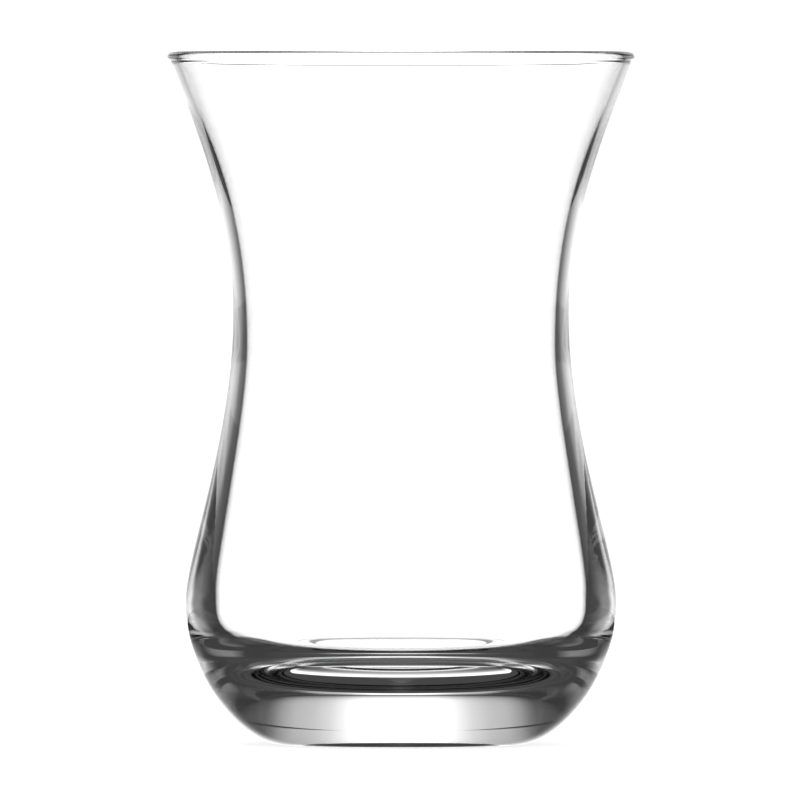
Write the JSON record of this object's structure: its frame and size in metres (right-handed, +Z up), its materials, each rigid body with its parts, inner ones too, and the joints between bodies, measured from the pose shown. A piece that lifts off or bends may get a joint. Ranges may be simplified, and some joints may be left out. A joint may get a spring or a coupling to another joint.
{
  "type": "turkish tea glass",
  "caption": "Clear tea glass with a flared mouth, a narrow waist, a round belly and a thick base, standing on a flat ring.",
  "frame": {"origin": "centre of the flat ring that the glass stands on, on the table plane", "axes": "+Z up along the axis of the glass, from the base to the mouth"},
  "size_m": [0.0596, 0.0594, 0.088],
  "materials": {
    "clear_glass": "clear, smooth, fire-polished"
  },
  "bodies": {
    "root": {"glass": "clear_glass"}
  },
  "joints": []
}
